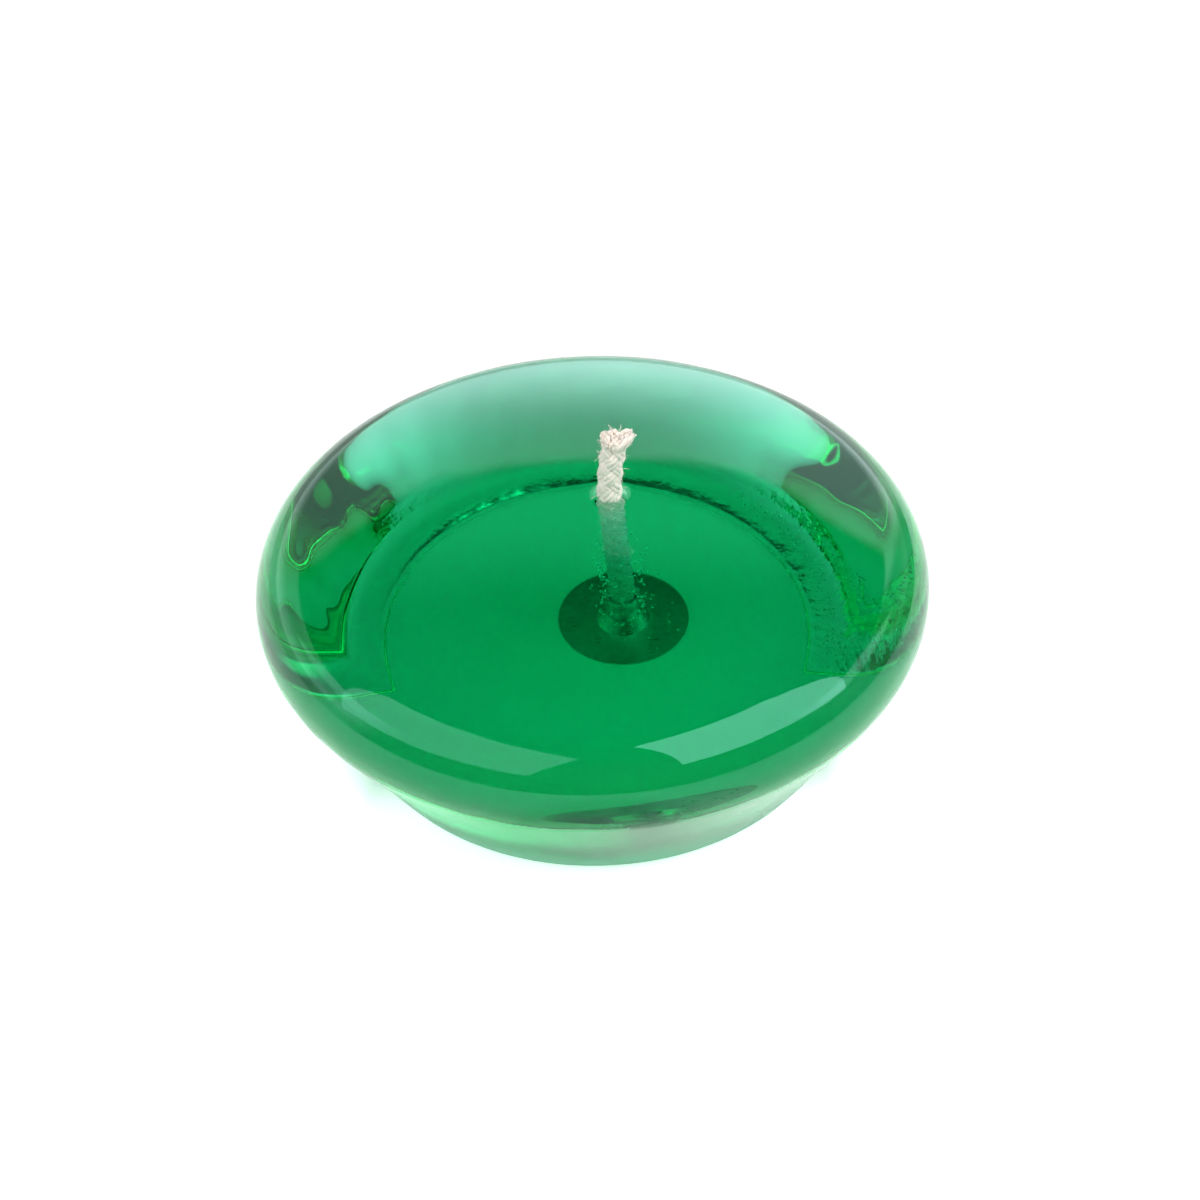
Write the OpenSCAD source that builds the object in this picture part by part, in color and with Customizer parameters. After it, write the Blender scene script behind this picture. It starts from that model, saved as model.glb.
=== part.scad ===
// Floating candle: a lens of clear gel poured around one braided wick.
// The wick stands in a stamped sustainer, whose disc lies flush in the poured face.
// Z is up and the part rests on z = 0. The axis of the mould is the Z axis.
// The wick and its sustainer sit a little off that axis, as they do on the real candle.

/* [Gel body] */
// Radius at the widest ring
body_r = 38.1; // [32:0.1:50]
// Height of the widest ring
ring_z = 19.2; // [16:0.1:30]
// Radius of the round shoulder at the widest ring
shoulder_r = 6.7; // [4:0.1:9]
// Height that the dome adds above the top of the round shoulder
dome_h = 3.1; // [1:0.1:12]
// Radius of the poured face that the candle rests on
foot_r = 22.3; // [16:0.1:24]
// Width of the level rim around the poured face, up to the corner
rim_w = 3.1; // [0.5:0.1:4]
// Radius of the corner between the level rim and the sloping side
corner_r = 2.5; // [1:0.1:6]
// Height that the poured face stands proud of the rim around it
lip_h = 0.25; // [0.1:0.05:0.8]

/* [Wick] */
// Radius over the braid
wick_r = 1.5; // [1:0.05:2]
// Length of wick that stands out of the gel
wick_out = 9.3; // [5:0.1:20]
// Where the wick leaves the dome, to the right of the axis
exit_x = 2.3; // [0:0.1:6]
// Where the wick leaves the dome, behind the axis
exit_y = 3; // [0:0.1:6]
// How far the tip leans to the right of the place where the wick leaves the dome
tip_lean = 1.2; // [-3:0.1:3]
// Yarns that run each way around the braid
yarns = 4; // [3:1:5]
// Length of wick that one crossing of the yarns takes up
braid_pitch = 2.4; // [1.8:0.1:4]
// Depth of the valleys between the yarns
braid_depth = 0.34; // [0.1:0.02:0.4]
// Depth of the cleft between the two tufts of the cut end
cleft_h = 0.8; // [0.2:0.1:1.6]

/* [Wick sustainer] */
// Centre of the disc, to the right of the axis
disc_x = 3.2; // [0:0.1:6]
// Centre of the disc, behind the axis
disc_y = 2; // [0:0.1:6]
// Radius of the disc
disc_r = 6.9; // [5.5:0.1:9]
// Thickness of the sheet
sheet = 0.25; // [0.2:0.05:0.35]
// How much wider than the collar the foot of the raised boss is
boss_spread = 1; // [0.6:0.1:1.6]
// Height of the raised boss
boss_h = 1.9; // [1.2:0.1:2.4]
// Height of the top of the collar
collar_h = 5.6; // [4.8:0.1:8]
// Depth of the crimp that grips the wick
crimp_depth = 0.22; // [0.1:0.02:0.3]
// Height of the crimp
crimp_w = 1.5; // [1:0.1:1.8]
// Distance from the top of the collar down to the middle of the crimp
crimp_drop = 1.5; // [1.2:0.1:1.6]

/* [Fits] */
// Clearance between the wick and what surrounds it
wick_fit = 0.05; // [0.03:0.01:0.1]
// Clearance between the sustainer and the gel
sheet_fit = 0.04; // [0.02:0.01:0.1]

/* [Hidden] */
$fn = 180;
// The dome is a short stretch of a large circle
dome_fn = 1440;
// Shapes that cut run this far past what they cut
past = 2;

// Centres of the shoulder and corner arcs, as [radius, height]
shoulder_c = [body_r - shoulder_r, ring_z];
corner_c = [foot_r + rim_w, lip_h + corner_r];
// The side is the outer tangent of both arcs: the direction of its outward normal
between = shoulder_c - corner_c;
side_a = atan2(between.y, between.x) - acos((corner_r - shoulder_r) / norm(between));
// The dome is an arc that is level at the top and runs tangent into the shoulder
dome_rise = shoulder_r + dome_h;
body_h = ring_z + dome_rise;
dome_r = (shoulder_c.x ^ 2 + dome_rise ^ 2 - shoulder_r ^ 2) / (2 * dome_h);
dome_c = [0, body_h - dome_r];
dome_a = atan2(ring_z - dome_c.y, shoulder_c.x);

// Points where the arcs and the side meet
dome_edge = shoulder_c + shoulder_r * heading(dome_a);
side_top = shoulder_c + shoulder_r * heading(side_a);
side_foot = corner_c + corner_r * heading(side_a);

// The collar fits around the wick, and the boss spreads out from the collar
collar_r = wick_r + wick_fit + sheet;
boss_r = collar_r + boss_spread;
boss_a = atan2(boss_h - sheet, boss_spread);
crimp_z = collar_h - crimp_drop;
// The wick's bore starts this far down the collar's pocket, clear of the crimp
bore_lap = (crimp_drop - crimp_w / 2) / 2;

// The wick stands upright in the collar, runs straight through the gel and leans above it
disc_at = [disc_x, disc_y];
exit_at = [exit_x, exit_y];
wick_run = body_h - collar_h;
wick_slope = (exit_at - disc_at) / wick_run;
wick_top = body_h + wick_out;
// The part of the tip's lean that the slope inside the gel doesn't give
tip_curl = [tip_lean, 0] - wick_slope * wick_out;
// The cut end flares over this length, by this share of the wick's radius
fray_h = 2.4;
fray_flare = 0.14;
// Facets of the braid
braid_sides = 28;
braid_step = 0.36;
braid_rings = ceil(wick_top / braid_step);

function heading(a) = [cos(a), sin(a)];

// Share of the crimp's depth at height z: 1 within half a facet of its middle, and 0 outside it
function crimp_share(z) = max(0, 1 - max(0, abs(z - crimp_z) - braid_step / 2) / (crimp_w / 2));
// How far the cut end has flared at height z: 0 below it and 1 at the tip
function flare_share(z) = max(0, 1 - (wick_top - z) / fray_h) ^ 2;

// Outline of the sustainer over its disc, boss and collar, grown by a clearance
function sustainer_top(grow) = [
    [disc_r + grow, sheet + grow],
    [boss_r + grow, sheet + grow],
    [collar_r + grow, boss_h + grow],
    [collar_r + grow, crimp_z - crimp_w / 2],
    [collar_r - crimp_depth + grow, crimp_z],
    [collar_r + grow, crimp_z + crimp_w / 2],
    [collar_r + grow, collar_h + grow]
];

// The underside runs one sheet's thickness from the top, so each bend moves along its bisector
function sustainer_under() = [
    [collar_r - sheet, collar_h],
    [collar_r - sheet, crimp_z + crimp_w / 2],
    [collar_r - sheet - crimp_depth, crimp_z],
    [collar_r - sheet, crimp_z - crimp_w / 2],
    [collar_r - sheet, boss_h - sheet * tan((90 - boss_a) / 2)],
    [boss_r - sheet * tan(boss_a / 2), 0]
];

// Centre of the wick at height z
function wick_at(z) =
    z < collar_h ? disc_at :
    z < body_h ? disc_at + wick_slope * (z - collar_h) :
    exit_at + wick_slope * (z - body_h) + tip_curl * ((z - body_h) / wick_out) ^ 2;

// Radius over the braid at height z: it narrows in the crimp and flares at the cut end
function wick_over(z) =
    wick_r - crimp_depth * crimp_share(z) + wick_r * fray_flare * flare_share(z);

// Height of the yarns at angle a and height z, from 0 in a valley to 1 on a crown.
// Two families of yarns climb in opposite directions and lie on top in turn.
function braid(a, z) =
    let (
        right = yarns * a / 360 + z / braid_pitch,
        left = yarns * a / 360 - z / braid_pitch,
        right_on_top = (floor(right) + floor(left)) % 2 == 0,
        u = right - floor(right) - 0.5,
        v = left - floor(left) - 0.5,
        across = right_on_top ? u : v,
        along = right_on_top ? v : u
    )
    cos(170 * across) * cos(80 * along);

// One ring of the wick at height z
function wick_ring(z) = [
    for (i = [0:braid_sides - 1])
        let (
            a = 360 * i / braid_sides,
            r = wick_over(z) - braid_depth * (1 - braid(a, z)),
            cleft = cleft_h * (1 - cos(2 * a)) / 2 * flare_share(z),
            c = wick_at(z)
        )
        [c.x + r * cos(a), c.y + r * sin(a), z - cleft]
];

// Round section of the gel body, from the axis out
module gel_section() {
    // The straight edges, and the radii that close each arc
    polygon([
        [0, 0],
        [foot_r, 0],
        [foot_r, lip_h],
        [corner_c.x, lip_h],
        corner_c,
        side_foot,
        side_top,
        shoulder_c,
        dome_edge,
        [0, dome_edge.y]
    ]);
    arc_sector(corner_c, corner_r, -90, side_a);
    arc_sector(shoulder_c, shoulder_r, side_a, dome_a);
    // The cap of the dome, over the chord through its edge
    intersection() {
        translate(dome_c) circle(dome_r, $fn = dome_fn);
        translate([0, dome_edge.y]) square([body_r, body_h]);
    }
}

// Sector of a disc between two directions less than 180 degrees apart
module arc_sector(centre, r, from, to) {
    far = 3 * r;
    intersection() {
        translate(centre) circle(r);
        polygon([
            centre,
            centre + far * heading(from),
            centre + far * heading((from + to) / 2),
            centre + far * heading(to)
        ]);
    }
}

// What the sustainer takes out of the gel
module sustainer_pocket() {
    below = [[0, -past], [disc_r + sheet_fit, -past]];
    above = [[0, collar_h + sheet_fit]];
    translate([disc_x, disc_y, 0])
        rotate_extrude()
            polygon(concat(below, sustainer_top(sheet_fit), above));
}

// What the wick takes out of the gel, from inside the collar's pocket to past the dome
module wick_bore() {
    lean = [wick_slope.x, wick_slope.y, 1];
    translate([disc_x, disc_y, collar_h])
        rotate([0, acos(1 / norm(lean)), atan2(lean.y, lean.x)])
            translate([0, 0, -bore_lap])
                cylinder(r = wick_r + wick_fit, h = wick_run * norm(lean) + bore_lap + past);
}

module gel_body() {
    color([0, 0.6, 0.33, 0.6])
        difference() {
            rotate_extrude() gel_section();
            sustainer_pocket();
            wick_bore();
        }
}

module wick() {
    rings = [for (k = [0:braid_rings]) wick_ring(wick_top * k / braid_rings)];
    foot = [disc_x, disc_y, 0];
    tip_c = wick_at(wick_top);
    tip = [tip_c.x, tip_c.y, wick_top - cleft_h];
    count = len(rings);
    last = count * braid_sides;
    color([0.93, 0.89, 0.87])
        polyhedron(
            points = concat([for (ring = rings) each ring], [foot, tip]),
            faces = concat(
                [
                    for (k = [0:count - 2])
                        for (i = [0:braid_sides - 1])
                            let (j = (i + 1) % braid_sides, a = k * braid_sides, b = (k + 1) * braid_sides)
                            [a + i, b + i, b + j, a + j]
                ],
                [for (i = [0:braid_sides - 1]) [last, i, (i + 1) % braid_sides]],
                [
                    for (i = [0:braid_sides - 1])
                        let (a = last - braid_sides)
                        [last + 1, a + (i + 1) % braid_sides, a + i]
                ]
            )
        );
}

module wick_sustainer() {
    color([0.62, 0.63, 0.62])
        translate([disc_x, disc_y, 0])
            rotate_extrude()
                polygon(concat([[disc_r, 0]], sustainer_top(0), sustainer_under()));
}

gel_body();
wick();
wick_sustainer();
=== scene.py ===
# %% [markdown]
# # A floating candle of clear green gel
# The candle is a thick lens of coloured gel with a braided cotton wick through it.
# A small tin disc with a collar, the wick sustainer, holds the foot of the wick.
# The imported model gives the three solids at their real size. This script keeps their places
# and dresses them: it pours the gel, braids the wick, tins the sustainer and lights them.

import bpy
import numpy as np
from mathutils import Matrix, Vector


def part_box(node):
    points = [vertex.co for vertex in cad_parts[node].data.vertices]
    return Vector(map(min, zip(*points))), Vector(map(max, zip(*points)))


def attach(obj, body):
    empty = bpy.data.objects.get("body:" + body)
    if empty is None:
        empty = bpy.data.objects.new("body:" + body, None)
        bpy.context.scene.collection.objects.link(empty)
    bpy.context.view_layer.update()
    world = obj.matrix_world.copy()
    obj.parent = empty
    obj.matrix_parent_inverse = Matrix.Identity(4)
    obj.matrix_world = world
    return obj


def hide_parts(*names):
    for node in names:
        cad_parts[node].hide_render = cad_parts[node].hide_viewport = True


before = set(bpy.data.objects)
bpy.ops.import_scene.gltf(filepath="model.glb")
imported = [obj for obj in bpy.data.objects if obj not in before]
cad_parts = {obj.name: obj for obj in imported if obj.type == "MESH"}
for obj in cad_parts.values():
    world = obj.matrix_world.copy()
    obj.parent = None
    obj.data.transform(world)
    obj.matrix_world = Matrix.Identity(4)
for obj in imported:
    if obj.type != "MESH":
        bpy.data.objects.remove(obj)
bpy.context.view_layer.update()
MM = 0.001

# %% [markdown]
# ## Sizes
# A dressed piece has to fit the solid that it stands for, so the sizes come first.
# Overall sizes are read from the solids' boxes. The arcs of the section, the place of the
# disc and the braid's pitch can't be read from a box, so they are written here in millimetres.

# %% Sizes of the three pieces
gel_low, gel_high = (np.array(corner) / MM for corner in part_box("gel_body"))
body_r = (gel_high[0] - gel_low[0]) / 2
body_h = gel_high[2]
wick_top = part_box("wick")[1][2] / MM

# Section of the gel
ring_z = 19.2
shoulder_r = 6.7
foot_r = 22.3
rim_w = 3.1
corner_r = 2.5
lip_h = 0.25

# Braid of the wick, and its way through the gel
wick_r = 1.5
yarns = 4
braid_pitch = 2.4
exit_at = np.array([2.3, 3.0])
tip_lean = 1.2

# Sustainer
disc_at = np.array([3.2, 2.0])
disc_r = 6.9
sheet = 0.25
boss_spread = 1.0
boss_h = 1.9
collar_h = 5.6
crimp_drop = 1.5
crimp_w = 1.5
crimp_depth = 0.22
wick_fit = 0.05
collar_r = wick_r + wick_fit + sheet
print(f"gel {2 * body_r:.1f} across and {body_h:.1f} high, wick top at {wick_top:.1f}")

# %% [markdown]
# ## The camera
# A product photograph of a small thing is taken from close by with a long lens. The camera
# stands half an arm's length away and looks down at the candle by about forty degrees, with a
# slight roll. Its lens follows from the number of pixels that one millimetre covers.

# %% Camera at the photograph's viewing angle
PICTURE = 1200
distance = 450.0
elevation, roll = np.radians([40.9, 1.9])
pixels_per_mm = 8.75
aim = Vector((0, 0, 12))
aim_pixel = (593.7, 630.5)


def make_camera():
    """Camera that looks at `aim` and shows it at `aim_pixel`.
    Two of its axes are turned by the roll, and the third looks back."""
    forward = Vector((0, np.cos(elevation), -np.sin(elevation)))
    level = Vector((1, 0, 0))
    upright = level.cross(forward)
    right = level * np.cos(roll) - upright * np.sin(roll)
    up = upright * np.cos(roll) + level * np.sin(roll)
    lens = bpy.data.cameras.new("camera")
    lens.sensor_width = 36
    lens.lens = lens.sensor_width * pixels_per_mm * distance / PICTURE
    lens.shift_x = (PICTURE / 2 - aim_pixel[0]) / PICTURE
    lens.shift_y = (aim_pixel[1] - PICTURE / 2) / PICTURE
    camera = bpy.data.objects.new("camera", lens)
    turn = Matrix((right, up, -forward)).transposed().to_4x4()
    camera.matrix_world = Matrix.Translation((aim - forward * distance) * MM) @ turn
    bpy.context.scene.collection.objects.link(camera)
    bpy.context.scene.camera = camera
    return lens


lens = make_camera()
bpy.context.scene.view_settings.view_transform = "Standard"
print(f"lens {lens.lens:.0f} mm, shift {lens.shift_x:.3f}, {lens.shift_y:.3f}")

# %% [markdown]
# ## Writing shaders as sums
# A finish is easier to read as a formula than as boxes and wires. `Value` wraps one socket,
# and each operator on it adds one Math node. `Finish` holds a node tree, and its `node` method
# adds any other node: its type, its settings, and what its sockets hold.

# %% Values and finishes


class Value:
    """An output socket that takes part in sums: each operator adds one Math node."""

    def __init__(self, finish, socket):
        self.finish = finish
        self.socket = socket

    def math(self, operation, *terms):
        sockets = dict(enumerate(terms))
        return self.finish.node("ShaderNodeMath", {"operation": operation}, sockets)

    def __add__(self, other):
        return self.math("ADD", self, other)

    def __sub__(self, other):
        return self.math("SUBTRACT", self, other)

    def __rsub__(self, other):
        return self.math("SUBTRACT", other, self)

    def __mul__(self, other):
        return self.math("MULTIPLY", self, other)

    def most(self, other):
        return self.math("MAXIMUM", self, other)

    __radd__ = __add__
    __rmul__ = __mul__


class Finish:
    """The node tree of a material or a world."""

    def __init__(self, owner):
        owner.use_nodes = True
        self.owner = owner
        self.tree = owner.node_tree
        self.tree.nodes.clear()

    def node(self, kind, settings=None, sockets=None, out=0):
        """Adds a node: its settings are set first, and then each socket gets its value or its link."""
        new = self.tree.nodes.new(kind)
        for key, value in (settings or {}).items():
            setattr(new, key, value)
        for key, value in (sockets or {}).items():
            if isinstance(value, Value):
                self.tree.links.new(value.socket, new.inputs[key])
            else:
                new.inputs[key].default_value = value
        return Value(self, new.outputs[out]) if len(new.outputs) else new

    def noise(self, vector, scale, detail=2.0):
        """Noise from 0 to 1 with about `scale` cells in a unit of the vector."""
        sockets = {"Vector": vector, "Scale": scale, "Detail": detail}
        return self.node("ShaderNodeTexNoise", None, sockets)

    def ramp(self, value, low, high, to_low=0.0, to_high=1.0):
        """Smooth step: `to_low` where the value is under `low`, `to_high` over `high`, an S between."""
        sockets = {"Value": value, "From Min": low, "From Max": high, "To Min": to_low, "To Max": to_high}
        return self.node("ShaderNodeMapRange", {"interpolation_type": "SMOOTHSTEP"}, sockets)

    def mix(self, share, first, second):
        """Blend of two colours: the first where share is 0 and the second where it is 1."""
        return self.node("ShaderNodeMix", {"data_type": "RGBA"}, {0: share, 6: first, 7: second}, out=2)

    def position(self):
        """Object coordinates as three values, in metres."""
        place = self.node("ShaderNodeTexCoord", out=3)
        split = self.node("ShaderNodeSeparateXYZ", None, {"Vector": place})
        axes = [Value(self, split.socket.node.outputs[i]) for i in range(3)]
        return place, axes

    def bump(self, height, distance, strength=1.0):
        """Normal of a surface that rises by `distance` metres where height is 1."""
        sockets = {"Height": height, "Distance": distance, "Strength": strength}
        return self.node("ShaderNodeBump", None, sockets)

    def surface(self, sockets):
        """Principled surface as the material's output."""
        shader = self.node("ShaderNodeBsdfPrincipled", None, sockets)
        self.node("ShaderNodeOutputMaterial", None, {"Surface": shader})


print("Math nodes come from the operators + - * and most")

# %% [markdown]
# ## The gel
# The gel is mineral oil held in a clear polymer, dyed green. It bends light almost as glass
# does, and its colour comes from its depth: red goes first, then blue, and green is left.
# A painted surface can't show that, so the finish is a clear surface that refracts, around
# a volume that absorbs. The numbers are what each metre takes away from red, green and blue.
# The skin isn't the same all over. The wall at the front has a dull bloom, so it is rougher
# there and has a thin white veil. The low corner at the right and at the back is crazed with
# small cracks, which are a fine bump. Products of smooth steps say where each of them is.

# %% Finish of the gel
GEL_IOR = 1.47
TAKEN_PER_METRE = np.array([110.0, 14.0, 35.0])


def gel_finish():
    """Clear surface with faint waves, over a volume with one absorption for each colour.
    The dull wall is a mix of the clear surface with a matt one, and the mix's factor is the veil."""
    finish = Finish(bpy.data.materials.new("green_gel"))
    place, (x, y, z) = finish.position()
    waves = finish.noise(place, 90.0, 1.0)
    crackle = finish.noise(place, 650.0, 2.0)
    at_corner = finish.ramp(z, 0.0035, 0.0020)
    at_right = finish.ramp(x, 0.015, 0.021)
    at_back = finish.ramp(y, 0.012, 0.020)
    crazed = at_corner * at_right.most(at_back * 0.5)
    at_front = finish.ramp(y, -0.002, -0.020)
    dull = at_front * finish.ramp(z, 0.0168, 0.0150)
    scuffed = finish.ramp(z, 0.0012, 0.0005)
    skin = {
        "Base Color": (1, 1, 1, 1),
        "Roughness": (dull * 0.24).most(scuffed * 0.18) + 0.02,
        "IOR": GEL_IOR,
        "Specular Tint": (0.4, 1.0, 1.0, 1),
        "Transmission Weight": 1.0,
        "Normal": finish.bump(waves * 0.3 + crackle * crazed, 0.0002),
    }
    clear = finish.node("ShaderNodeBsdfPrincipled", None, skin)
    bloom = finish.node("ShaderNodeBsdfDiffuse", None, {"Color": (0.92, 0.94, 0.93, 1)})
    veil_right = finish.ramp(x, -0.014, 0.016, 0.08, 0.24)
    veil_low = finish.ramp(z, 0.007, 0.001, 0.0, 0.24)
    veil = dull * veil_right.most(veil_low)
    shader = finish.node("ShaderNodeMixShader", None, {0: veil, 1: clear, 2: bloom})
    density = TAKEN_PER_METRE.max() * 1.02
    kept = 1 - TAKEN_PER_METRE / density
    depth = finish.node("ShaderNodeVolumeAbsorption", None, {"Color": (*kept, 1), "Density": density})
    finish.node("ShaderNodeOutputMaterial", None, {"Surface": shader, "Volume": depth})
    return finish.owner


gel_green = gel_finish()
print("share of light left after 30 mm:", np.exp(-TAKEN_PER_METRE * 0.03).round(2))

# %% [markdown]
# ## The section of the gel
# The gel was poured into a round mould, upside down: the wide shoulder and the low dome took
# the mould's shape, and the flat face with its sharp rim is where it was poured.
# The section is four tangent pieces, so one list of radii and heights describes it.
# Each arc is spaced by its own turn, which keeps the highlights smooth.
# Beside the poured face the gel has drawn back into a shallow groove. It is small, but it is
# what shows as the dark ring around the wick's disc.

# %% Section of the gel as arcs


def heading(angle):
    """Unit vector of each angle in radians, as (cos, sin)."""
    return np.stack([np.cos(angle), np.sin(angle)], -1)


def arc(centre, radius, start, end, count):
    """Points on a circle: the centre plus the radius times the heading, from start to end in degrees."""
    return np.array(centre) + radius * heading(np.radians(np.linspace(start, end, count)))


shoulder_c = np.array([body_r - shoulder_r, ring_z])
corner_c = np.array([foot_r + rim_w, lip_h + corner_r])
between = shoulder_c - corner_c
slant = np.arccos((corner_r - shoulder_r) / np.hypot(*between))
side_a = np.degrees(np.arctan2(between[1], between[0]) - slant)
dome_h = body_h - ring_z - shoulder_r
dome_r = (shoulder_c[0] ** 2 + (shoulder_r + dome_h) ** 2 - shoulder_r**2) / (2 * dome_h)
dome_a = np.degrees(np.arctan2(ring_z - body_h + dome_r, shoulder_c[0]))

shoulder = arc(shoulder_c, shoulder_r, dome_a, side_a, 44)
corner = arc(corner_c, corner_r, side_a, -90, 30)
side = np.linspace(shoulder[-1], corner[0], 20)[1:-1]
groove_w, groove_h = 0.8, 0.26
groove = np.array([
    [foot_r + groove_w, lip_h],
    [foot_r + 0.45, lip_h + groove_h],
    [foot_r + 0.05, lip_h - 0.05],
])
edge_r = 0.08
face_edge = arc((foot_r - edge_r, edge_r), edge_r, 0, -90, 5)
outside = np.concatenate([shoulder, side, corner, groove, face_edge])
print(f"side leans out by {-side_a:.0f} degrees, dome radius {dome_r:.0f} mm")

# %% [markdown]
# ## The gel as one closed surface
# A lathe could turn the section, but the wick and its disc stand off centre, so the rings
# near them have to move over. Each ring therefore has its own centre as well as a radius and
# a height. The rings run from the wick over the dome and the side, under the base, and back up
# through the bore, and the last ring joins the first: the surface has no pole at all.
# The gel wets the tin and the cotton, with no film of air between, so its inner walls lie
# inside them and a ray in the gel meets the metal or the yarn first.

# %% Rings of the gel


def wick_centre(z):
    """Middle of the wick at height z: upright in the collar, straight from there to the dome, and
    then leaning over as a square of the height."""
    slope = (exit_at - disc_at) / (body_h - collar_h)
    curl = np.array([tip_lean, 0]) - slope * (wick_top - body_h)
    inside = np.clip(z - collar_h, 0, None)[..., None]
    above = np.clip(z - body_h, 0, None)[..., None] / (wick_top - body_h)
    return disc_at + slope * inside + curl * above**2


def dome_height(radius):
    """Height of the dome's circle over a point at that radius."""
    return body_h - dome_r + np.sqrt(dome_r**2 - radius**2)


def at_height(flat, height):
    """Points in space from points on the plan and their heights."""
    return np.concatenate([flat, height[..., None]], -1)


COLUMNS = 320
# The gel's inner wall runs inside the wick, at this radius
bore_r = 0.9
# The poured face sits this far to the right of the mould's axis
lean = 0.3


def gel_rings():
    """Centre, radius and height of every ring, and the number of rings on the dome and on the wall.
    On the dome the centres move from the wick's exit to the axis, and under the base to the disc."""
    share = np.linspace(0, 1, 56)[:-1] ** 1.3
    edge = shoulder[0, 0]
    dome = (exit_at * (1 - share)[:, None], bore_r + (edge - bore_r) * share, np.full(len(share), body_h))

    drop = np.clip((ring_z - outside[:, 1]) / ring_z, 0, None)
    wall = (np.stack([lean * drop, 0 * drop], 1), outside[:, 0], outside[:, 1])

    share = np.linspace(0, 1, 22)[1:]
    pocket_r = disc_r - 0.1
    start = np.array([lean, 0])
    middle = start + (disc_at - start) * share[:, None]
    base = (middle, outside[-1, 0] + (pocket_r - outside[-1, 0]) * share, 0 * share)

    boss_r = collar_r + boss_spread
    half = sheet / 2
    steps = np.array([
        [pocket_r, half],
        [boss_r - 0.06, half],
        [collar_r - half, boss_h - 0.05],
        [bore_r, boss_h + 0.3],
    ])
    pocket = (np.tile(disc_at, (len(steps), 1)), steps[:, 0], steps[:, 1])

    z = np.linspace(boss_h + 0.8, body_h - 0.3, 30)
    bore = (wick_centre(z), np.full(len(z), bore_r), z)
    rings = [np.concatenate(part) for part in zip(dome, wall, base, pocket, bore)]
    return rings, len(dome[1]), len(wall[1])


(ring_c, ring_r, ring_h), dome_rings, wall_rings = gel_rings()
print(f"{len(ring_r)} rings of {COLUMNS} points, {dome_rings} of them on the dome")

# %% [markdown]
# ## Ripples, shrinkage and a meniscus
# A plain turned body looks like machined glass. The cast gel has slow ripples down its side,
# where it let go of the mould, and it climbs a little at the wick. The ripples are a sum of a
# few sine waves around the body, so they close on themselves, and the meniscus is a small
# hump that fades away from the wick.

# %% Points of the gel
RIPPLE = 0.15
SHRINKAGE = 0.22
MENISCUS_H, MENISCUS_REACH = 0.35, 0.45


def ripples(angle, height):
    """Sum of sines: each has a whole number of waves around, a slope down the wall, a phase and a size."""
    draw = np.random.default_rng(4)
    waves = draw.integers(5, 46, 16)
    slope = draw.uniform(-0.5, 0.5, 16)
    phase = draw.uniform(0, 2 * np.pi, 16)
    size = 1.0 / np.sqrt(waves)
    terms = np.sin(waves * angle[..., None] + slope * height[..., None] + phase) * size
    return terms.sum(-1) / size.sum()


def hollow(height):
    """How far the side sinks in as the gel shrinks: a squared cosine between its foot and its top."""
    foot, top = side[-1, 1], side[0, 1]
    share = np.clip((2 * height - foot - top) / (top - foot), -1, 1)
    return SHRINKAGE * np.cos(np.pi / 2 * share) ** 2


def gel_points():
    """Each ring's centre plus its radius around, with the dome's height, the ripples and the meniscus."""
    angle = np.linspace(0, 2 * np.pi, COLUMNS, endpoint=False)
    reach = np.clip((ring_z + 1 - ring_h) / 6, 0, 1) * np.clip((ring_h - lip_h) / 4, 0, 1)
    reach[dome_rings + wall_rings:] = 0
    sunk = np.where(reach > 0, hollow(ring_h), 0)
    wave = ripples(angle, ring_h[:, None] + 0 * angle) + 0.5
    radius = (ring_r - sunk)[:, None] - RIPPLE * reach[:, None] * wave
    flat = ring_c[:, None, :] + radius[..., None] * heading(angle)
    height = np.repeat(ring_h[:, None], COLUMNS, 1)
    top = flat[:dome_rings]
    off_wick = np.clip(np.linalg.norm(top - exit_at, axis=-1) - wick_r, 0, None)
    climb = MENISCUS_H * np.exp(-off_wick / MENISCUS_REACH)
    height[:dome_rings] = dome_height(np.linalg.norm(top, axis=-1)) + climb
    return at_height(flat, height)


def grid_faces(rows, columns, close_rows=False):
    """Quads of a grid whose columns go round.
    They face out when its rows run outwards and its columns run anticlockwise."""
    i, j = np.meshgrid(np.arange(rows if close_rows else rows - 1), np.arange(columns), indexing="ij")
    below, beside = (i + 1) % rows, (j + 1) % columns
    corners = [i * columns + j, below * columns + j, below * columns + beside, i * columns + beside]
    return np.stack(corners, -1).reshape(-1, 4)


points = gel_points()
print("gel points:", points.shape, "top at", points[..., 2].max().round(2))

# %% [markdown]
# ## Bubbles
# Stirring and the dry wick leave small bubbles. Most of them are caught at the collar and
# along the wick, a few sit on the disc, and a crowd of them stayed in the corner at the right.
# A bubble is a hole in the gel and not a thing in it. So each is a small ball in the gel's own
# mesh with its faces turned inwards: a ray that reaches it leaves the gel, and the volume ends.

# %% Bubbles as holes in the gel
BALL_ROWS, BALL_COLUMNS = 7, 10
BY_WICK, BY_DISC, BY_CORNER = 180, 26, 150


def ball():
    """Unit ball: rings at equal steps of latitude, and a point at each pole."""
    latitude = np.radians(np.linspace(-90, 90, BALL_ROWS + 2)[1:-1])[:, None]
    angle = np.linspace(0, 2 * np.pi, BALL_COLUMNS, endpoint=False)
    grid = at_height(np.cos(latitude)[..., None] * heading(angle), np.sin(latitude) + 0 * angle)
    return np.concatenate([grid.reshape(-1, 3), [[0, 0, -1], [0, 0, 1]]])


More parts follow.
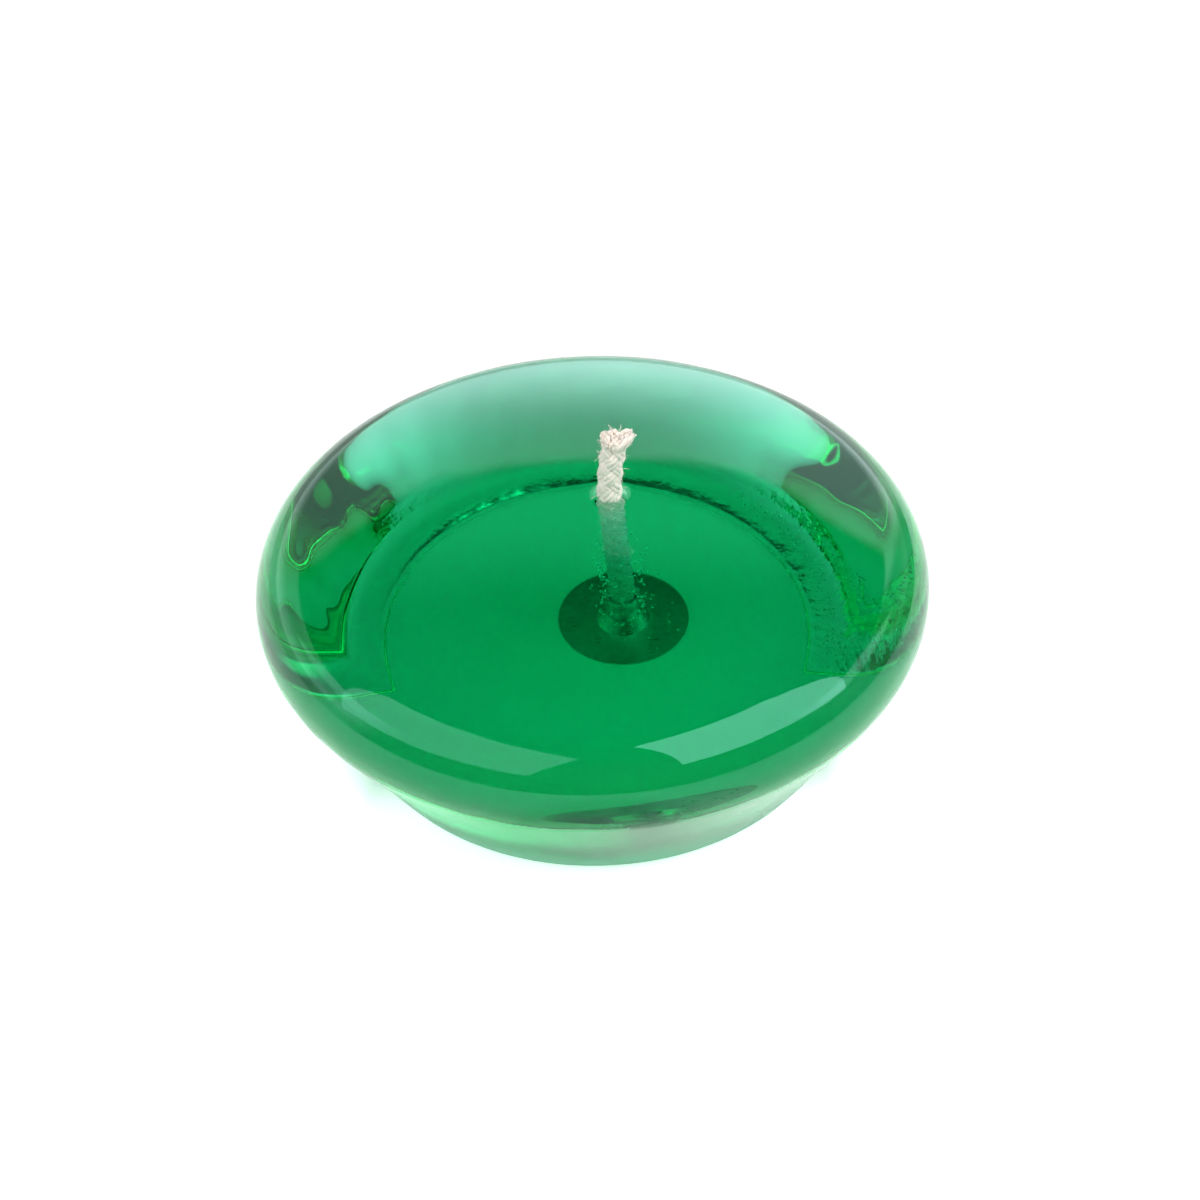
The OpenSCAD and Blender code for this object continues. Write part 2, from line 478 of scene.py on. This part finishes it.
def ball_faces():
    """Quads between the rings and triangles to the poles, all facing inwards."""
    quads = grid_faces(BALL_ROWS, BALL_COLUMNS)
    j = np.arange(BALL_COLUMNS)
    beside = (j + 1) % BALL_COLUMNS
    south, north = BALL_ROWS * BALL_COLUMNS, BALL_ROWS * BALL_COLUMNS + 1
    last = (BALL_ROWS - 1) * BALL_COLUMNS
    low = np.stack([south + 0 * j, j, beside], 1)
    high = np.stack([north + 0 * j, last + beside, last + j], 1)
    return quads, np.concatenate([low, high])


def around(centre, angle, away, z):
    """Points at a height z, at a distance `away` from a centre, in the direction of an angle."""
    return at_height(centre + away[:, None] * heading(angle), z)


def bubble_places():
    """Centres and radii of all bubbles. By the wick a power crowds them low, and their distance from
    it falls off exponentially. In the corner they scatter normally about its arc's centre."""
    draw = np.random.default_rng(11)
    z = 1.5 + 16 * draw.random(BY_WICK) ** 1.6
    angle = draw.uniform(0, 2 * np.pi, BY_WICK)
    away = collar_r + 0.28 + draw.exponential(0.3, BY_WICK)
    by_wick = around(wick_centre(z), angle, away, z)

    angle = draw.uniform(0, 2 * np.pi, BY_DISC)
    away = draw.uniform(2.9, disc_r + 0.4, BY_DISC)
    by_disc = around(disc_at, angle, away, draw.uniform(0.75, 1.3, BY_DISC))

    angle = np.radians(draw.uniform(-25, 52, BY_CORNER))
    away = corner_c[0] + draw.normal(0, 0.45, BY_CORNER)
    by_corner = around(np.zeros(2), angle, away, draw.uniform(0.7, 2.2, BY_CORNER))

    radii = [
        draw.uniform(0.07, 0.2, BY_WICK),
        draw.uniform(0.06, 0.16, BY_DISC),
        draw.uniform(0.05, 0.19, BY_CORNER),
    ]
    return np.concatenate([by_wick, by_disc, by_corner]), np.concatenate(radii)


bubble_at, bubble_r = bubble_places()
print(len(bubble_at), "bubbles, the largest", (2 * bubble_r.max()).round(2), "mm across")

# %% [markdown]
# ## Putting the gel together
# Every piece goes into Blender the same way: points in millimetres become metres in the mesh,
# the object stays at the origin under the root body, and the model's solid that it stands for is hidden.

# %% Make the gel body


def make_piece(name, points, faces, finish, slot, stands_for):
    """Smooth mesh object on the root body, in place of one of the model's solids."""
    mesh = bpy.data.meshes.new(name)
    mesh.from_pydata((points.reshape(-1, 3) * MM).tolist(), [], faces)
    mesh.polygons.foreach_set("use_smooth", np.ones(len(mesh.polygons), bool))
    mesh.materials.append(finish)
    piece = bpy.data.objects.new(name, mesh)
    bpy.context.scene.collection.objects.link(piece)
    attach(piece, "root")
    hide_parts(stands_for)
    return piece


def gel_mesh():
    """The gel's grid, followed by every bubble: one ball, scaled and moved to each place."""
    unit = ball()
    quads, caps = ball_faces()
    balls = bubble_at[:, None, :] + bubble_r[:, None, None] * unit
    first = points.shape[0] * COLUMNS + np.arange(len(bubble_at))[:, None, None] * len(unit)
    faces = grid_faces(points.shape[0], COLUMNS, close_rows=True).tolist()
    faces += (quads + first).reshape(-1, 4).tolist()
    faces += (caps + first).reshape(-1, 3).tolist()
    return np.concatenate([points.reshape(-1, 3), balls.reshape(-1, 3)]), faces


gel = make_piece("poured_gel", *gel_mesh(), gel_green, "gel", "gel_body")
print("gel faces:", len(gel.data.polygons))

# %% [markdown]
# ## The cotton
# Cotton is matt and a little warm, with fine fibres along each ply. The finish reads the
# ply's own map: u goes round it and v along it, in millimetres. Noise that is stretched along
# v makes the fibres, in the colour and in a small bump. In the gel the cotton is soaked, and
# it takes on a little of the gel's green.

# %% Finish of the cotton


def cotton_finish():
    """Warm white with noise stretched along each ply, and a greener, darker tone where it is soaked."""
    finish = Finish(bpy.data.materials.new("cotton_yarn"))
    place, (x, y, z) = finish.position()
    along = finish.node("ShaderNodeUVMap", {"uv_map": "ply"})
    stretch = finish.node("ShaderNodeMapping", None, {"Vector": along, "Scale": (9.0, 0.8, 1.0)})
    fibres = finish.noise(stretch, 3.0, 4.0)
    patches = finish.noise(place, 900.0, 2.0)
    dry = finish.mix(fibres, (0.76, 0.68, 0.60, 1), (0.94, 0.87, 0.80, 1))
    dry = finish.mix(patches * 0.3, dry, (0.80, 0.71, 0.64, 1))
    above = finish.ramp(z, (body_h + 0.1) * MM, (body_h + 0.9) * MM)
    finish.surface({
        "Base Color": finish.mix(above, (0.60, 0.66, 0.56, 1), dry),
        "Roughness": finish.ramp(fibres, 0.3, 0.7, 0.85, 0.98),
        "Sheen Weight": 0.3,
        "Sheen Roughness": 0.5,
        "Specular IOR Level": 0.2,
        "Normal": finish.bump(fibres, 0.00008, 0.8),
    })
    return finish.owner


cotton = cotton_finish()
print("cotton finish reads the map", "ply")

# %% [markdown]
# ## The braided wick
# The wick is a round braid: four yarns climb to the left and four to the right, and each goes
# over one yarn and under the next. A yarn here is three plies that lie side by side.
# One formula serves all of them. Two slanted coordinates count the yarns of each family, so a
# ply keeps one of them fixed and runs along the other, and a sine of that other one lifts it
# over or pulls it under. A wound spiral with modifiers could do this too, but the formula keeps
# the same phase as the solid and needs no booleans.

# %% Centre lines of the plies
STEPS = 290
# The plies start a little over the poured face
foot_z = 0.2
# Half the width and half the thickness of a ply, and how deep it dips under a crossing yarn
ply_w = 0.34
ply_t = 0.28
under = 0.32
# Over this length the cut end spreads. Its two tufts part by this much, and the cleft between
# them is this deep
fray_h = 3.0
tuft = 0.5
cleft = 0.6


def outward(turn):
    """Level unit vector in space that points away from the wick, for each angle in radians."""
    return at_height(heading(turn), 0 * turn)


def fray(z):
    """How far the cut end has spread at height z: a square that is 1 at the tip."""
    return np.clip(1 - (wick_top - z) / fray_h, 0, 1) ** 2


def ply_lines():
    """Centre line and outward direction of each ply, as arrays of plies by steps by three."""
    draw = np.random.default_rng(21)
    grid = np.meshgrid([1, -1], np.arange(yarns), [-1, 0, 1], indexing="ij")
    family, yarn, ply = (axis.reshape(-1, 1) for axis in grid)
    count = len(family)
    own = yarn + 0.5 + ply * 0.29 + draw.normal(0, 0.015, (count, 1))
    end = wick_top - 0.25 - draw.uniform(0, 0.75, (count, 1))
    top_turn = 2 * np.pi * (own - family * wick_top / braid_pitch) / yarns
    end = end - cleft * np.sin(top_turn) ** 2
    z = foot_z + (end - foot_z) * np.linspace(0, 1, STEPS)
    turn = 2 * np.pi * (own - family * z / braid_pitch) / yarns
    other = own - 2 * family * z / braid_pitch
    over = family * np.sin(np.pi * (other - yarn))
    loose = fray(z)
    crimp = np.clip(1 - np.abs(z - collar_h + crimp_drop) / (crimp_w / 2), 0, 1)
    radius = wick_r - ply_t - under * (1 - over) / 2 - 0.07 * ply**2 - crimp_depth * crimp
    radius = radius + loose * draw.uniform(-0.15, 0.55, (count, 1))
    radius = radius + 0.03 * np.sin(z * draw.uniform(2, 5, (count, 1)) + draw.uniform(0, 6, (count, 1)))
    turn = turn + loose * draw.normal(0, 0.25, (count, 1))
    centre = at_height(wick_centre(z), z)
    centre[..., 0] += tuft * loose * np.sign(np.cos(top_turn))
    return centre + radius[..., None] * outward(turn), outward(turn)


def core_lines():
    """Seven straight plies that fill the braid: one in the middle and six around it."""
    draw = np.random.default_rng(5)
    turn = np.radians(np.arange(7) * 60)[:, None]
    away = np.array([0.62] * 6 + [0.0])[:, None]
    z = foot_z + (wick_top - 0.9 - draw.uniform(0, 0.6, (7, 1))) * np.linspace(0, 1, 60)
    out = outward(turn + 0 * z)
    return at_height(wick_centre(z), z) + away[..., None] * out, out


lines, line_out = ply_lines()
print("plies:", lines.shape[0], "points on each:", lines.shape[1])

# %% [markdown]
# ## Loose fibres and the cut end
# A cut wick is never clean: single fibres stand off its end and off the place where it leaves
# the gel. Each fibre starts on the braid, leaves it outwards and bends over, as a parabola.
# The cut itself shows the ends of all the yarns, packed tightly. Short stubs stand there side by
# side and fill the space between the plies.

# %% Centre lines of the fibres and the stubs
FIBRE_STEPS = 9
STUB_STEPS = 7


def fibre_lines():
    """Fibres that start on the braid, run out along their direction and bend sideways as a square."""
    draw = np.random.default_rng(33)
    count = 70
    tip = draw.random(count) < 0.5
    by_tip = wick_top - 0.4 - draw.exponential(0.8, count)
    by_gel = draw.uniform(body_h + 0.2, wick_top - 1, count)
    z = np.where(tip, by_tip, by_gel)
    out = outward(draw.uniform(0, 2 * np.pi, count))
    start = at_height(wick_centre(z), z) + (wick_r - 0.3) * out
    length = draw.uniform(0.25, 0.7, count)[:, None, None]
    rise = draw.uniform(-0.6, 0.9, count)[:, None] * np.array([0, 0, 1])
    bend = draw.normal(0, 0.5, (count, 3))
    t = np.linspace(0, 1, FIBRE_STEPS)[None, :, None]
    line = start[:, None] + length * (t * (out + rise)[:, None] + t**2 * bend[:, None])
    line[..., 2] = np.clip(line[..., 2], body_h + 0.15, wick_top - 0.05)
    return line, np.repeat(out[:, None], FIBRE_STEPS, 1)


def cut_lines():
    """Short stubs spread evenly over a disc, for which the radius is the root of a random number.
    They stand up, spread with the fray, part with the tufts and bend sideways as a square."""
    draw = np.random.default_rng(8)
    count = 150
    turn = draw.uniform(0, 2 * np.pi, count)
    away = 1.35 * np.sqrt(draw.random(count))
    out = outward(turn)
    low = wick_top - 1.9
    high = wick_top - 0.1 - draw.uniform(0, 0.7, count) - cleft * np.sin(turn) ** 2
    t = np.linspace(0, 1, STUB_STEPS)
    z = low + (high - low)[:, None] * t
    spread = away[:, None] * (1 + 0.25 * fray(z))
    line = at_height(wick_centre(z), z) + spread[..., None] * out[:, None]
    line[..., 0] += tuft * fray(z) * np.sign(np.cos(turn))[:, None]
    line[..., :2] += draw.normal(0, 0.12, (count, 1, 2)) * t[:, None] ** 2
    return line, np.repeat(out[:, None], STUB_STEPS, 1)


fibres, fibre_out = fibre_lines()
stubs, stub_out = cut_lines()
print("fibres:", len(fibres), "stubs:", len(stubs))

# %% [markdown]
# ## A tube around every line
# Plies, core, stubs and fibres are all tubes, so one function sweeps them together. It carries an
# oval around each line, wide along the wick's surface and flat across it, and closes both ends
# with a point. No line is turned by itself: the whole family is one array.

# %% Sweep the tubes


def tubes(line, out, wide, flat, sides):
    """Oval tubes, as the line + wide * cos * across + flat * sin * normal. Across is square to the
    line and to the outward direction, and the normal is square to both line and across."""
    along = np.gradient(line, axis=1)
    along /= np.linalg.norm(along, axis=-1, keepdims=True)
    across = np.cross(along, out)
    across /= np.linalg.norm(across, axis=-1, keepdims=True)
    normal = np.cross(across, along)
    turn = np.linspace(0, 2 * np.pi, sides, endpoint=False)
    end = np.ones(line.shape[1])
    end[[0, -1]] = 0.6
    oval = wide * np.cos(turn)[:, None] * across[:, :, None]
    oval = oval + flat * np.sin(turn)[:, None] * normal[:, :, None]
    rings = line[:, :, None] + end[None, :, None, None] * oval
    tips = np.stack([line[:, 0] - along[:, 0] * flat * 0.4, line[:, -1] + along[:, -1] * flat * 0.4], 1)
    return rings, tips


def tube_faces(count, rows, sides, first):
    """Quads along each tube and a fan of triangles at both of its ends.
    There are `count` tubes, and the first starts at vertex `first`."""
    per = rows * sides + 2
    start = first + np.arange(count)[:, None, None] * per
    quads = grid_faces(rows, sides)[:, ::-1] + start
    j = np.arange(sides)
    beside = (j + 1) % sides
    last = (rows - 1) * sides
    low = np.stack([j, beside, rows * sides + 0 * j], 1)[:, ::-1]
    high = np.stack([last + j, last + beside, rows * sides + 1 + 0 * j], 1)
    caps = np.concatenate([low, high]) + start
    return quads.reshape(-1, 4).tolist() + caps.reshape(-1, 3).tolist()


def join_tubes(families):
    """Points, faces and the (u, v) of each point, for all families of tubes.
    u goes round the tube, with a shift of its own for each tube, and v is the length along it in mm."""
    points, faces, maps = [], [], []
    first = 0
    for line, out, wide, flat, sides in families:
        rings, tips = tubes(line, out, wide, flat, sides)
        count, rows = line.shape[:2]
        points.append(np.concatenate([rings.reshape(count, -1, 3), tips], 1).reshape(-1, 3))
        faces += tube_faces(count, rows, sides, first)
        run = np.linalg.norm(np.diff(line, axis=1, prepend=line[:, :1]), axis=-1).cumsum(1)
        shift = np.arange(count)[:, None, None] * 3.7
        u = np.broadcast_to(np.abs(np.linspace(-1, 1, sides)) + shift, (count, rows, sides))
        v = np.broadcast_to(run[:, :, None], (count, rows, sides))
        body = np.stack([u, v], -1).reshape(count, -1, 2)
        ends = body[:, [0, -1]]
        maps.append(np.concatenate([body, ends], 1).reshape(-1, 2))
        first += count * (rows * sides + 2)
    return np.concatenate(points), faces, np.concatenate(maps)


core, core_out = core_lines()
# Lines, outward directions, half width, half thickness and sides of each family
families = [
    (lines, line_out, ply_w, ply_t, 8),
    (core, core_out, 0.36, 0.36, 8),
    (stubs, stub_out, 0.11, 0.11, 6),
    (fibres, fibre_out, 0.035, 0.035, 5),
]
wick_points, wick_faces, wick_map = join_tubes(families)
wick = make_piece("braided_wick", wick_points, wick_faces, cotton, "cotton", "wick")
corners = np.empty(len(wick.data.loops), np.int32)
wick.data.loops.foreach_get("vertex_index", corners)
wick.data.uv_layers.new(name="ply").data.foreach_set("uv", wick_map[corners].ravel())
print("wick triangles:", sum(len(p) - 2 for p in wick_faces))

# %% [markdown]
# ## The sustainer
# The sustainer is tinned steel sheet, pressed in one stroke. Its solid already has the right
# shape, so it stays, and only its finish is new: bright tin with the fine lines of the rolled
# sheet, a soft mottle, and dull spots where the wax has stained it.

# %% Finish of the sustainer


def tin_finish():
    """Grey metal: stretched noise for the rolled lines, wide noise for the mottle."""
    finish = Finish(bpy.data.materials.new("tinned_steel"))
    place = finish.position()[0]
    stretch = finish.node("ShaderNodeMapping", None, {"Vector": place, "Scale": (1.0, 14.0, 14.0)})
    rolled = finish.noise(stretch, 300.0, 3.0)
    mottle = finish.noise(place, 420.0, 3.0)
    finish.surface({
        "Base Color": finish.mix(mottle, (0.42, 0.42, 0.40, 1), (0.70, 0.70, 0.68, 1)),
        "Metallic": 1.0,
        "Roughness": finish.ramp(mottle * 0.6 + rolled * 0.4, 0.3, 0.7, 0.42, 0.26),
        "Normal": finish.bump(rolled, 0.00003, 0.6),
    })
    return finish.owner


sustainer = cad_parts["wick_sustainer"]
sustainer.data.materials.clear()
sustainer.data.materials.append(tin_finish())
print("sustainer keeps its", len(sustainer.data.polygons), "faces")

# %% [markdown]
# ## The table
# The candle stands on a white table that runs out of the picture. The table's top lies a hair
# above the candle's flat face, because soft gel wets what it stands on: with no film of air
# there, the light goes straight from the table into the gel, which gives the even green and the
# thin dark ring. The table also glows a little, only for what is seen directly or in gloss and
# gel. Further out everywhere the glow keeps it white to the eye. Close to the candle, at its left
# and its right, and at its front for the camera alone, the glow is painted light that washes out
# the candle's shadow. Under the back of the candle a faint glow is a painted pool of light, seen
# through the gel. Behind the candle it keeps the candle's shadow.

# %% Floor
FLOOR_REACH = 1500
floor_z = 0.045


def floor_finish():
    """White paint with a glow, which is the largest of four masks, each a product of smooth steps. Far out
    it is an even white; the three masks near the candle are painted light.
    """
    finish = Finish(bpy.data.materials.new("white_table"))
    place, (x, y, z) = finish.position()
    away = finish.node("ShaderNodeVectorMath", {"operation": "LENGTH"}, {0: place}, out=1)
    path = finish.node("ShaderNodeLightPath").socket.node.outputs
    camera = Value(finish, path["Is Camera Ray"])
    glossy = Value(finish, path["Is Glossy Ray"])
    through = Value(finish, path["Is Transmission Ray"])
    seen = camera.most(glossy).most(through)
    beside = finish.ramp(x * x, 0.006**2, 0.022**2)
    # painted light: glow beside the candle that washes out its shadow on the table
    painted_light_beside = beside * finish.ramp(away, 0.026, 0.032, 0.0, 0.65)
    # painted light: glow in front of the candle, for camera rays only, that washes out its shadow there
    before = camera * finish.ramp(y, -0.008, -0.018) * finish.ramp(away, 0.0225, 0.027, 0.0, 0.6)
    # painted light: a faint pool of glow on the table under the back of the candle, seen through the gel
    under = finish.ramp(y, 0.004, 0.018, 0.0, 0.16) * finish.ramp(away, 0.024, 0.021)
    far = finish.ramp(away, 0.05, 0.25, 0.0, 0.9)
    glow = painted_light_beside.most(under).most(before).most(far)
    paint = {
        "Base Color": (0.86, 0.86, 0.86, 1),
        "Roughness": 0.7,
        "Specular IOR Level": 0.1,
        "Emission Color": (1, 1, 1, 1),
        "Emission Strength": glow * seen,
    }
    finish.surface(paint)
    return finish.owner


mesh = bpy.data.meshes.new("table")
square = np.array([[-1, -1], [1, -1], [1, 1], [-1, 1]]) * FLOOR_REACH * MM
mesh.from_pydata([(x, y, floor_z * MM) for x, y in square], [], [(0, 1, 2, 3)])
mesh.materials.append(floor_finish())
table = bpy.data.objects.new("table", mesh)
bpy.context.scene.collection.objects.link(table)
print("table", 2 * FLOOR_REACH * MM, "m square")

# %% [markdown]
# ## The lights
# Clear gel shows its lights as reflections, so they are shaped and placed with care. Two large
# soft boxes stand left and right of the candle and lean over it, and between them the ceiling
# is dark: that keeps the middle of the dome free and the green deep. Low down behind the
# candle a pale backdrop lights the gel from the back, brighter to the right, and two wings beside
# it put bright streaks into the far sides. The room in front is dim.

# %% Soft boxes and room


def soft_box(name, middle, shines, along, size, level):
    """Rectangular lamp at `middle` that shines along one direction, with its width along another.
    Its power is the level times pi times its area, so `level` is its brightness."""
    lamp = bpy.data.lights.new(name, "AREA")
    lamp.shape = "RECTANGLE"
    lamp.size, lamp.size_y = (s * MM for s in size)
    lamp.energy = level * np.pi * lamp.size * lamp.size_y
    box = bpy.data.objects.new(name, lamp)
    back = -Vector(shines).normalized()
    up = back.cross(Vector(along)).normalized()
    turn = Matrix((up.cross(back), up, back)).transposed().to_4x4()
    box.matrix_world = Matrix.Translation(Vector(middle) * MM) @ turn
    bpy.context.scene.collection.objects.link(box)
    return box


soft_box(
    "soft_box_left",
    middle=(-284, -224, 505),
    shines=(0.87, 0.16, -0.47),
    along=(-0.34, 0.88, -0.34),
    size=(684, 550),
    level=2.4,
)
soft_box(
    "soft_box_right",
    middle=(250, -81, 580),
    shines=(-0.91, 0.27, -0.32),
    along=(-0.37, -0.86, 0.35),
    size=(465, 705),
    level=4.9,
)


def room():
    """World as smooth steps of the direction's three parts: beside, behind, and up, the sine of its
    height. The camera sees white, gloss and gel see the studio, and matt surfaces a plain fill."""
    world = bpy.data.worlds.new("studio")
    bpy.context.scene.world = world
    finish = Finish(world)
    way = finish.node("ShaderNodeTexCoord", out=0)
    split = finish.node("ShaderNodeSeparateXYZ", None, {"Vector": way}).socket.node.outputs
    beside, behind, up = (Value(finish, axis) for axis in split)
    path = finish.node("ShaderNodeLightPath").socket.node.outputs
    mirrored = Value(finish, path["Is Glossy Ray"]).most(Value(finish, path["Is Transmission Ray"]))
    bowed = finish.ramp(beside * beside, 0.01, 0.1, 0.0, 0.08)
    edge = finish.ramp(up - bowed, 0.50, 0.53, 1.0, 0.0)
    sides = finish.ramp(beside, -0.3, 0.3, 0.8, 1.4) * finish.ramp(beside, 0.46, 0.60, 1.0, 0.15)
    fade = finish.ramp(up, 0.14, 0.24, 0.42, 1.0) * finish.ramp(up, 0.2, 0.46, 3.1, 1.15)
    middle = fade * sides
    wings = finish.ramp(beside * beside, 0.53, 0.64, 0.0, 2.2) * finish.ramp(up, 0.38, 0.46, 0.15, 1.0)
    backdrop = middle.most(wings) * edge
    front = finish.ramp(up, 0.7, 0.9, 0.14, 0.03)
    at_back = finish.ramp(behind, -0.35, -0.05)
    shown = backdrop * at_back + front * (1 - at_back)
    plain = finish.ramp(up, 0.3, 0.52, 0.64, 0.1)
    camera = Value(finish, path["Is Camera Ray"])
    strength = camera + (1 - camera) * (mirrored * shown + (1 - mirrored) * plain)
    light = finish.node("ShaderNodeBackground", None, {"Color": (1, 1, 1, 1), "Strength": strength})
    finish.node("ShaderNodeOutputWorld", None, {"Surface": light})


room()
print("two soft boxes and a pale room")
